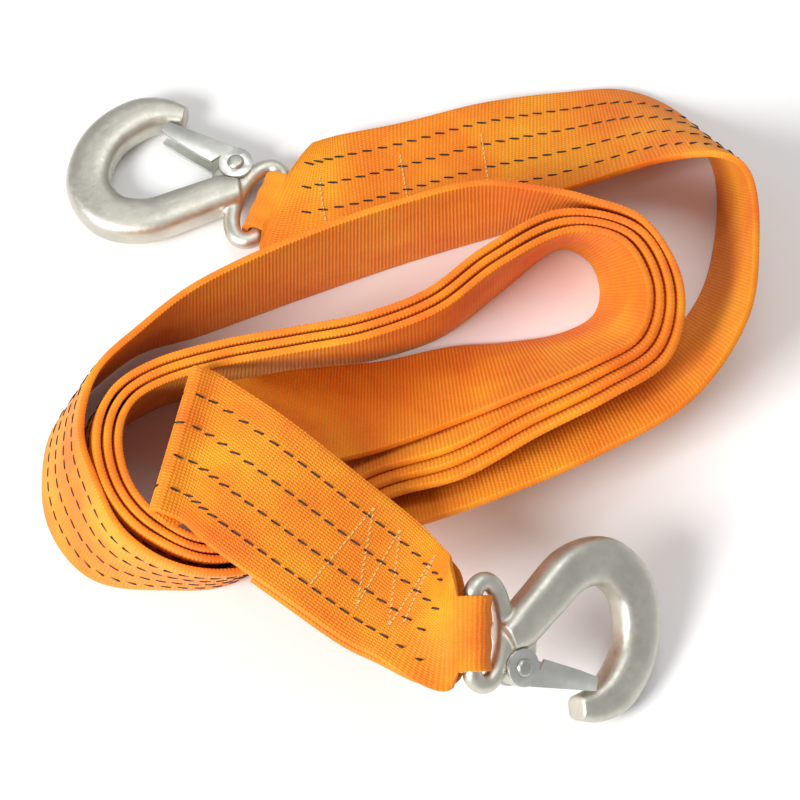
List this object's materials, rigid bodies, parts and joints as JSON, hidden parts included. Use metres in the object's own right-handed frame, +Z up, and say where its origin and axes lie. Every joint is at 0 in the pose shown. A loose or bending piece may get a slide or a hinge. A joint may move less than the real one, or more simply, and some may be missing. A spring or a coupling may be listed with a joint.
{
  "type": "tow strap",
  "caption": "Coiled flat webbing tow strap with a forged, spring-latched snap hook sewn into an end loop at each end.",
  "frame": {"origin": "on the floor, under the middle of the lying strap's bounding box", "axes": "+Z up from the floor, +X to the viewer's right along the coil's long side, +Y away from the viewer, towards the hook at the upper left"},
  "size_m": [0.2794, 0.2898, 0.0704],
  "materials": {
    "webbing": "woven polyester webbing, dyed orange",
    "hook_steel": "zinc plated drop forging",
    "latch_steel": "zinc plated pressed sheet",
    "rivet_steel": "zinc plated rivet"
  },
  "bodies": {
    "strap": {"webbing": "webbing"},
    "hook_a": {"hook_a": "hook_steel", "rivet_a": "rivet_steel"},
    "latch_a": {"latch_a": "latch_steel"},
    "hook_b": {"hook_b": "hook_steel", "rivet_b": "rivet_steel"},
    "latch_b": {"latch_b": "latch_steel"}
  },
  "joints": [
    {"name": "hook_a_swing", "type": "hinge", "parent": "strap", "child": "hook_a", "pos_m": [-0.05322, 0.08302, 0.00811], "axis": [-0.342, -0.9397, 0], "range_deg": [-60, 60]},
    {"name": "latch_a_open", "type": "hinge", "parent": "hook_a", "child": "latch_a", "pos_m": [-0.06727, 0.10144, 0.00811], "axis": [0, 0, 1], "range_deg": [0, 28], "stiffness_Nm_per_rad": 0.05, "springref_deg": -22.92},
    {"name": "hook_b_swing", "type": "hinge", "parent": "strap", "child": "hook_b", "pos_m": [0.02578, -0.12398, 0.05311], "axis": [0.016, 0.9055, 0.424], "range_deg": [-75, 45]},
    {"name": "latch_b_open", "type": "hinge", "parent": "hook_b", "child": "latch_b", "pos_m": [0.04148, -0.13074, 0.03748], "axis": [0.579, -0.3541, 0.7344], "range_deg": [0, 28], "stiffness_Nm_per_rad": 0.05, "springref_deg": -22.92}
  ]
}
